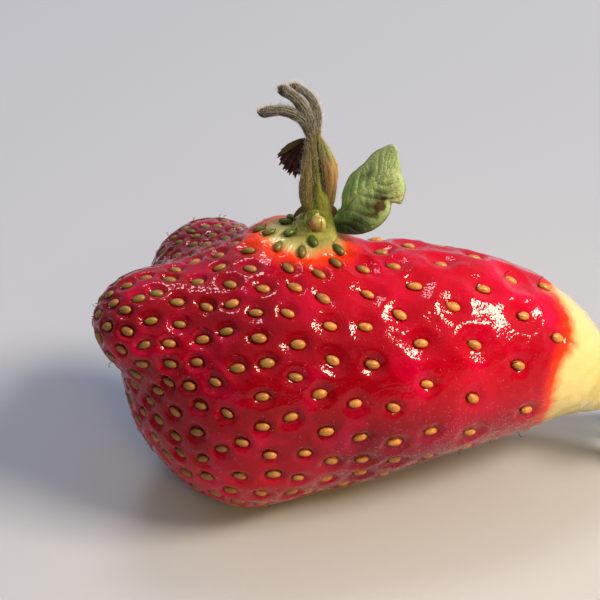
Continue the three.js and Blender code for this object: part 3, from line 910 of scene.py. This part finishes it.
leaf = {
    "left": [(1.2, 2.0, 28.4), (1.6, 1.9, 29.2), (2.1, 1.8, 29.8), (2.1, 1.8, 31.1), (2.4, 1.8, 32.3),
             (3.0, 1.7, 33.5), (4.2, 1.6, 34.8), (5.4, 1.3, 36.1), (6.6, 1.1, 36.8), (7.0, 1.0, 36.5)],
    "rib": [(1.2, 2.0, 28.3), (2.2, 1.5, 29.6), (3.3, 0.9, 31.4), (4.6, 0.7, 32.7), (5.7, 0.7, 33.5),
            (6.4, 0.8, 34.7), (7.0, 1.0, 36.4)],
    "right": [(1.2, 1.9, 27.9), (1.5, 1.2, 27.6), (2.5, 0.5, 27.6), (3.9, 0.3, 27.7), (5.0, 0.5, 28.0),
              (6.1, 0.9, 28.6), (6.8, 1.2, 29.6), (7.0, 1.4, 30.5), (7.8, 1.5, 30.5), (8.2, 1.6, 31.5),
              (8.2, 1.6, 32.4), (7.8, 1.5, 33.6), (7.5, 1.3, 34.9), (7.2, 1.1, 36.2)],
    "stem": [(0.7, 2.25, 28.2), (1.1, 2.15, 28.5), (1.6, 2.0, 28.95), (2.4, 2.0, 29.7), (3.4, 2.0, 30.9)],
    "stemWidth": ([0, 0.4, 0.7, 1], [0.4, 0.36, 0.24, 0.08]),
    "stemThick": ([0, 0.4, 0.7, 1], [0.4, 0.34, 0.22, 0.06]),
    "cup": 0.18,      # how far each half swells out of the line from rib to margin
    "blister": 0.11,  # height of the swellings between the side veins
    "crumple": [(1.8, 31, 0.07), (0.7, 32, 0.05)],  # size, seed and height
    "ruffle": 0.06,
    "groove": 0.09,   # depth of the veins
    "veins": 5,
    "thick": 0.16,
    "gap": 0.12,      # to the skin below
}


def leafMaterial():
    # young strawberry leaf, a thin waxed blade: satin green, blistered between pale sunken veins
    material, tree, masks = newMaterial(
        "young_leaf", ("vein", "rim", "shade", "brown", "back", "pale"), Roughness=0.5, Sheen_Weight=0.05,
        Sheen_Tint="#dfe8c8", Subsurface_Weight=0.1, **plantSkin)
    place = addNode(tree, "NewGeometry")
    blotch, spots, fine = [
        addNode(tree, "TexNoise", {"Vector": place, "Scale": 0.6 / (size * mm), "Detail": detail})
        for size, detail in ((1.5, 3), (0.45, 4), (0.15, 2))]
    cells = addNode(tree, "TexVoronoi", {"Vector": place, "Scale": 1 / (0.42 * mm)},
                    feature="DISTANCE_TO_EDGE")
    net = addNode(tree, "ValToRGB", {0: cells}, [(0, 1.0), (0.16, 0)])
    green = addNode(tree, "ValToRGB", {0: blotch},
                    [(0.36, "#587a46"), (0.46, "#749c5a"), (0.58, "#8cb26e"), (0.76, "#a4c48a")])
    dead = addNode(tree, "Math", {0: masks["brown"], 1: spots}, operation="MULTIPLY")
    # pale is painted light on the tip and the right margin; shade is painted shade
    color = paintOver(tree, green, (masks["pale"], 1, "#b0c890"), (net, 0.16, "#a3bd7c"),
                      (masks["vein"], 0.75, "#b4c894"), (masks["shade"], 1, "#1f2e18"),
                      (dead, [(0.3, 0), (0.5, 0.9)], "#4a3416"), (masks["back"], 1, "#8ba474"),
                      (masks["rim"], 1, "#3c4426"))
    height = addNode(tree, "Mix", {0: 0.6, 6: fine, 7: net}, data_type="RGBA", blend_type="SUBTRACT")
    return finishMaterial(material, color, height, 0.7, 0.08)


def clearOfSkin(points, gap):  # moves what would touch the skin out to the gap
    moved = points.copy()
    for i, point in enumerate(points):
        place, normal, _, distance = skinTree.find_nearest(Vector(point))
        height = (Vector(point) - place).dot(normal)
        if distance < 3 and height < gap:
            moved[i] += np.array(normal) * (gap - height)
    return moved


def makeSideLeaf():
    rows, columns = 84, 72
    rib, left, right = (followCurve(leaf[key], rows) for key in ("rib", "left", "right"))
    s = np.linspace(0, 1, rows)[:, None]
    t = np.linspace(-1, 1, columns)[None, :]
    out = np.abs(t)  # from rib to margin
    margin = np.where(t[..., None] < 0, left[:, None], right[:, None])
    grid = rib[:, None] + (margin - rib[:, None]) * out[..., None]
    toward = unit(np.cross(right - rib, np.gradient(rib, axis=0)))[:, None]  # out of the hollow side
    toward = np.where(np.sum(toward * (0, -1, 0.4), axis=-1, keepdims=True) < 0, -toward, toward)
    body = np.sin(math.pi * np.clip(s, 0.02, 0.98)) ** 0.7
    phase = (s * leaf["veins"] - out * 1.3 + 0.1 * np.sin(5 * t + 9 * s)) % 1.0
    nearVein = np.abs(phase - 0.5) * 2  # 1 on a side vein, 0 midway
    vein = ease(0.78, 1.0, nearVein) * ease(0.02, 0.1, out) * ease(1.0, 0.8, out)
    vein = np.maximum(vein, ease(0.06, 0.0, out))
    relief = leaf["cup"] * np.sin(math.pi * out ** 0.85)
    relief = relief + leaf["blister"] * np.sin(math.pi * (1 - nearVein)) * np.sin(math.pi * out) ** 0.6
    relief += leaf["ruffle"] * np.sin(s * 21 + 1.0) * out ** 3
    for size, seed, height in leaf["crumple"]:
        relief += height * softNoise(grid.reshape(-1, 3), size, seed).reshape(rows, columns)
    grid = grid + toward * (relief * body - leaf["groove"] * vein)[..., None]
    # painted light and shade on the blade: shade darkens the base, the lower half and some patches, pale
    # lightens the tip and the right margin
    lowHalf = ease(0.15, 0.6, t)
    dark = 0.75 * bell(s, 0.52, 0.13) * bell(t, 0.42, 0.22) + 0.4 * bell(s, 0.62, 0.08) * bell(t, -0.5, 0.15)
    dark += 0.3 * ease(0.45, 0.0, nearVein) * ease(-0.05, -0.3, t) * ease(-0.95, -0.6, t)
    masks = {
        "vein": vein,
        "rim": ease(0.955, 0.99, out) * 0.8,
        "shade": np.clip(lowHalf * ease(0.5, 0.25, s) * 0.85 + 0.2 * ease(0.4, 0.05, s) + dark, 0, 0.92),
        "brown": lowHalf * bell(s, 0.5, 0.14) * bell(t, 0.62, 0.22) * 1.3,
        "pale": np.clip(ease(0.4, 0.8, s) * 0.85 + 0.7 * ease(0.5, 0.9, t) * ease(0.35, 0.55, s), 0, 1),
    }
    thick = leaf["thick"] * (1 - 0.75 * out ** 4)
    blade = sheetShape(grid[:, ::-1], thick[:, ::-1], {key: mask[:, ::-1] for key, mask in masks.items()})
    stem = tubeShape(leaf["stem"], leaf["stemWidth"], leaf["stemThick"], 20, 14)
    none = 0 * stem[2]["along"]
    stem[2].update(vein=none + 0.1, rim=none, shade=none, brown=none, pale=none + 0.3, back=none)
    points, faces, both = joinShapes([blade, stem])
    points = clearOfSkin(points, leaf["gap"])
    makePiece("side_leaf_blade", points, faces, both, leafMaterial(), "leaf_green", ["side_leaf"])


makeSideLeaf()
print("side leaf made")


def cadPoints(name):
    return meshArrays(cadNodes[name].data)[0] / mm


def centreLine(name, axis, start, count):  # middle of a CAD piece at even steps along an axis
    points = cadPoints(name)
    run = (points - start) @ axis
    steps = np.linspace(run.min(), run.max(), count)
    reach = (run.max() - run.min()) / count
    return np.array([points[np.abs(run - step) <= reach].mean(axis=0) for step in steps])


stemEnds = centreLine("cut_stem", np.array([1.0, 0, 0]), np.zeros(3), 6)
discMiddle = cadPoints("calyx_disc").mean(axis=0)
calyxAxis = unit(stemEnds[1] - discMiddle)
calyxBlades = [name for name in sorted(cadNodes) if name.startswith(("sepal_", "bractlet_"))]
sepal = {"rows": 40, "columns": 22, "thick": 0.22, "foot": 1.2}  # foot: how far it reaches in under the hub
hub = {
    "steps": (-1.3, 0, 0.7, 1.3),  # along the calyx axis, from the middle of the disc
    "girth": ([0, 0.25, 0.6, 0.8, 1], [2.7, 3.0, 2.9, 2.2, 1.5]),
    "tones": [(0, "#d8cf8c"), (0.4, "#a8b060"), (0.8, "#7e9440"), (1, "#6e8636")],
}
cutStem = {
    "girth": ([0, 0.15, 0.5, 0.9, 1], [1.7, 1.45, 1.35, 1.4, 1.42]),
    "ridges": 7,
    "sides": 40,
    "capRings": 8,
}


def makeCalyxHub():
    def ridges(s, turn):
        return 1 + 0.03 * np.sin(10 * turn + 1) + 0.02 * np.sin(5 * turn)
    path = [discMiddle + calyxAxis * step for step in hub["steps"]]
    material = fibreMaterial("calyx_hub", hub["tones"], tip="#6e8636", furrow="#6b7a38", glow=0.1)
    shape = tubeShape(path, hub["girth"], hub["girth"], 20, 60, ridges, (0, 0, 1))
    makePiece("calyx_hub", *shape, material, "calyx_green", ["calyx_disc"])


def sepalMaterial():
    # fresh sepal, a soft hairy blade: mid green, paler ribs along it, brownish at the very tip
    material, tree, masks = newMaterial(
        "sepal_green", ("vein", "along", "rim", "back"), Roughness=0.55, Sheen_Weight=0.3,
        Sheen_Tint="#e4ecd0", Subsurface_Weight=0.1, **plantSkin)
    place = addNode(tree, "NewGeometry")
    blotch = addNode(tree, "TexNoise", {"Vector": place, "Scale": 0.6 / (1.2 * mm), "Detail": 4})
    green = addNode(tree, "ValToRGB", {0: blotch}, [(0.32, "#48691f"), (0.5, "#5f8430"), (0.7, "#789a42")])
    color = paintOver(tree, green, (masks["vein"], 0.6, "#a6b868"), (masks["back"], 1, "#8fa766"),
                      (masks["along"], [(0.93, 0), (1, 0.8)], "#6a3c20"), (masks["rim"], 1, "#7c5a34"))
    fine = addNode(tree, "TexNoise", {"Vector": place, "Scale": 0.6 / (0.3 * mm), "Detail": 3})
    return finishMaterial(material, color, fine, 0.6, 0.08)


def makeSepals():
    # each blade follows the middle of its CAD node outwards from the disc
    material = sepalMaterial()
    s = np.linspace(0, 1, sepal["rows"])[:, None]
    t = np.linspace(-1, 1, sepal["columns"])[None, :]
    out = np.abs(t)  # from middle rib to margin
    for name in calyxBlades:
        points = cadPoints(name)
        middle = points.mean(axis=0) - discMiddle
        radial = unit(middle - calyxAxis * (middle @ calyxAxis))
        side = np.cross(calyxAxis, radial)
        halfWidth = np.abs((points - discMiddle) @ side).max()
        line = centreLine(name, radial, discMiddle, 7)
        line[0] -= radial * sepal["foot"]
        path = followCurve(line, sepal["rows"])
        belly = 0.72 if name.startswith("sepal_") else 0.85  # the lower, the nearer the foot it is widest
        outline = np.sin(math.pi * s ** belly) ** 0.75 * (1 - 0.25 * s) * 1.08 + 0.28 * (1 - s) ** 2
        wave = 1 + 0.03 * np.sin(31 * s + len(name)) + 0.02 * np.sin(17 * s)
        width = halfWidth * np.clip(outline * wave, 0.03, 1.05)
        normal = unit(np.cross(np.gradient(path, axis=0), side))[:, None]
        normal = normal * np.sign(np.sum(normal * calyxAxis, axis=-1, keepdims=True))
        ribs = np.maximum(ease(0.12, 0.0, out), 0.6 * ease(0.1, 0.0, np.abs(out - 0.45 - 0.2 * s)))
        bend = 0.3 * t ** 2 * width + 0.1 * ribs + 0.1 * np.sin(9 * s + 4 * t + len(name)) * s
        grid = path[:, None] + side * (t * width)[..., None] + normal * bend[..., None]
        thick = sepal["thick"] * (1 - 0.6 * out ** 3) * (1 - 0.5 * s)
        shape = sheetShape(grid, thick, {"vein": ribs, "along": s, "rim": ease(0.9, 1, out) * 0.5})
        makePiece(name + "_blade", *shape, material, "calyx_green", [name])


def stemMaterial():
    # cut fruit stalk: downy ribbed green outside, wet pale pith with a ring of strands on the cut
    material, tree, masks = newMaterial(
        "cut_stalk", ("cut", "strand", "ridge"), Roughness=0.5, Sheen_Weight=0.3, Sheen_Tint="#eef0d8",
        Subsurface_Weight=0.1, **plantSkin)
    streak = addNode(tree, "Mapping", {"Vector": addNode(tree, "NewGeometry"), "Scale": (0.15, 1, 1)})
    lines = addNode(tree, "TexNoise", {"Vector": streak, "Scale": 0.6 / (0.3 * mm), "Detail": 4})
    green = addNode(tree, "ValToRGB", {0: lines}, [(0.3, "#5c7a2a"), (0.5, "#7c9440"), (0.7, "#a3ac5c")])
    pith = paintOver(tree, "#dfe0b0", (masks["strand"], 1, "#8e9c54"))
    color = paintOver(tree, green, (masks["ridge"], [(0.95, 0), (1, 0.35)], "#a8644a"),
                      (masks["cut"], 1, pith))
    return finishMaterial(material, color, lines, 0.6, 0.1)


def makeStem():
    def ridges(s, turn):
        return 1 + 0.06 * np.sin(cutStem["ridges"] * turn) + 0.02 * np.sin(3 * turn + 2)
    path = np.vstack([discMiddle, stemEnds])
    sides, rings = cutStem["sides"], cutStem["capRings"]
    points, faces, masks = tubeShape(path, cutStem["girth"], cutStem["girth"], 50, sides, ridges, (0, 0, 1))
    masks.update(cut=0 * masks["along"], strand=0 * masks["along"])
    # the cut: rings from the rim to the middle, slightly domed, with the strands part of the way in
    end, rim = path[-1], points[-sides:]
    r = 1 - np.arange(rings + 1)[:, None] / rings
    dome = 0.12 * np.sin(math.pi * r) + 0.02
    dome[0] = 0
    heading = unit(end - path[-2])
    cap = end + (rim - end) * (np.maximum(r, 0.01) * 0.985)[..., None] + heading * dome[..., None]
    strand = 0.9 * bell(r, 0.62, 0.1) * (0.6 + 0.4 * np.sin(np.arange(sides)))
    ones = np.ones(strand.size)
    capMasks = {"ridge": ones, "cut": ones, "strand": strand.ravel()}
    shape = joinShapes([(points, faces, masks), (cap.reshape(-1, 3), ringFaces(rings, sides), capMasks)])
    makePiece("stem_rod", *shape, stemMaterial(), "fresh_stalk", ["cut_stem"])


makeCalyxHub()
makeSepals()
makeStem()
print("calyx made")


def hairMaterial(name, dull, bright):
    # plant hair, a single clear cell, fine and a little shiny: white in the air; on the red skin its pink is
    # painted, for the skin's red light shining through it
    material, tree, _ = newMaterial(name, Roughness=0.35, IOR=1.5, Subsurface_Weight=0.2,
                                    Subsurface_Scale=0.0003)
    grain = addNode(tree, "TexNoise", {"Vector": addNode(tree, "NewGeometry"), "Scale": 0.6 / (3 * mm)})
    return finishMaterial(material, addNode(tree, "ValToRGB", {0: grain}, [(0.35, dull), (0.65, bright)]))


def combHairs(name, roots, headings, lengths, thick, slot, material, curl=0.35, steps=3):
    # each hair is a tapering three-sided rod
    count, sides = len(roots), 3
    headings = unit(headings)
    sideways = unit(np.cross(headings, rng.normal(size=(count, 3))))
    other = np.cross(headings, sideways)
    corners = []
    for i in range(steps + 1):
        t = i / steps
        middle = roots + (headings * t + sideways * curl * t * t) * lengths[:, None]
        radius = thick / 2 * (1 - 0.8 * t)
        for j in range(sides):
            turn = 2 * math.pi * j / sides
            corners.append(middle + (other * math.cos(turn) + sideways * math.sin(turn)) * radius)
    points = np.stack(corners, 1).reshape(-1, 3)
    rod = ringFaces(steps, sides)
    faces = [tuple(corner + k * len(corners) for corner in face) for k in range(count) for face in rod]
    makePiece(name, points, faces, {}, material, slot)


def scatterOn(name, count, chance=None):  # random places on a finished piece, with their normals
    places, normals = meshArrays(bpy.data.objects[name].data)
    weight = np.ones(len(places)) if chance is None else chance(places / mm, normals)
    pick = rng.choice(len(places), count, p=weight / weight.sum())
    return places[pick] / mm, normals[pick]


hair = {
    "onSkin": 13800,
    "crest": [(-6.5, 3.5, 26.8), (-17.0, 1.5, 23.0)],  # ends of the hairy line along the fold
    "onShoot": {"stalk": 1100, "stipule_left_blade": 550, "stipule_right_blade": 550, "crown": 550,
                "leaflet_lower_folds": 1760, "leaflet_middle_folds": 1760, "leaflet_upper_folds": 1760},
    "onSepal": 130,
    "onStem": 420,
    "thick": {"skin": 0.016, "shoot": 0.023, "calyx": 0.03},
}


def skinHairChance(points, normals):
    # thickest below, on the far lobe and along the fold between the lobes
    below = ease(0.1, -0.9, normals[:, 2])
    start, end = (np.array(place) for place in hair["crest"])
    run = end - start
    share = np.clip((points - start) @ run / (run @ run), 0, 1)[:, None]
    fold = bell(np.linalg.norm(points - start - run * share, axis=1), 0, 1.1)
    low = ease(0.35, -0.2, normals[:, 2]) * ease(0, 8, points[:, 0])
    return (0.15 + 1.3 * below + 16 * fold + 1.8 * low) * ease(25, 20, points[:, 0]) * (points[:, 2] > 0.5)


def hairRoots(pieces, straight=1.0, lean=(0, 0, 0)):  # pieces: name, number of hairs and spread of directions
    places, headings = [], []
    for name, count, spread in pieces:
        some, normals = scatterOn(name, count)
        places.append(some)
        headings.append(normals * straight + lean + rng.normal(0, spread, some.shape))
    return np.concatenate(places), np.concatenate(headings)


def makeHairs():
    plantHair = hairMaterial("plant_hair", "#cfc6b4", "#f2ece0")
    # the pink of the skin's hairs is painted: it stands in for red light from the skin shining through them
    skinHair = hairMaterial("fruit_hair", "#c48298", "#ecbcc8")
    thick = hair["thick"]
    places, normals = scatterOn("skin", hair["onSkin"], skinHairChance)
    flat = unit(np.cross(normals, rng.normal(size=normals.shape)))
    combHairs("skin_hairs", places, flat + normals * rng.uniform(0.15, 0.9, (len(places), 1)),
              0.15 + 0.45 * rng.random(len(places)) ** 2.5, thick["skin"], "flesh", skinHair, 0.2, 2)
    onShoot = [(name, count, 0.3) for name, count in hair["onShoot"].items()]
    places, headings = hairRoots(onShoot, 0.6, (0, 0, 0.9))
    combHairs("shoot_hairs", places, headings, rng.uniform(0.25, 0.65, len(places)), thick["shoot"],
              "hairy_grey_green", plantHair)
    onCalyx = [(name + "_blade", hair["onSepal"], 0.35) for name in calyxBlades]
    places, headings = hairRoots(onCalyx + [("stem_rod", hair["onStem"], 0.3)])
    combHairs("calyx_hairs", places, headings, rng.uniform(0.3, 0.8, len(places)), thick["calyx"],
              "calyx_green", plantHair)


makeHairs()
print("hairs combed")
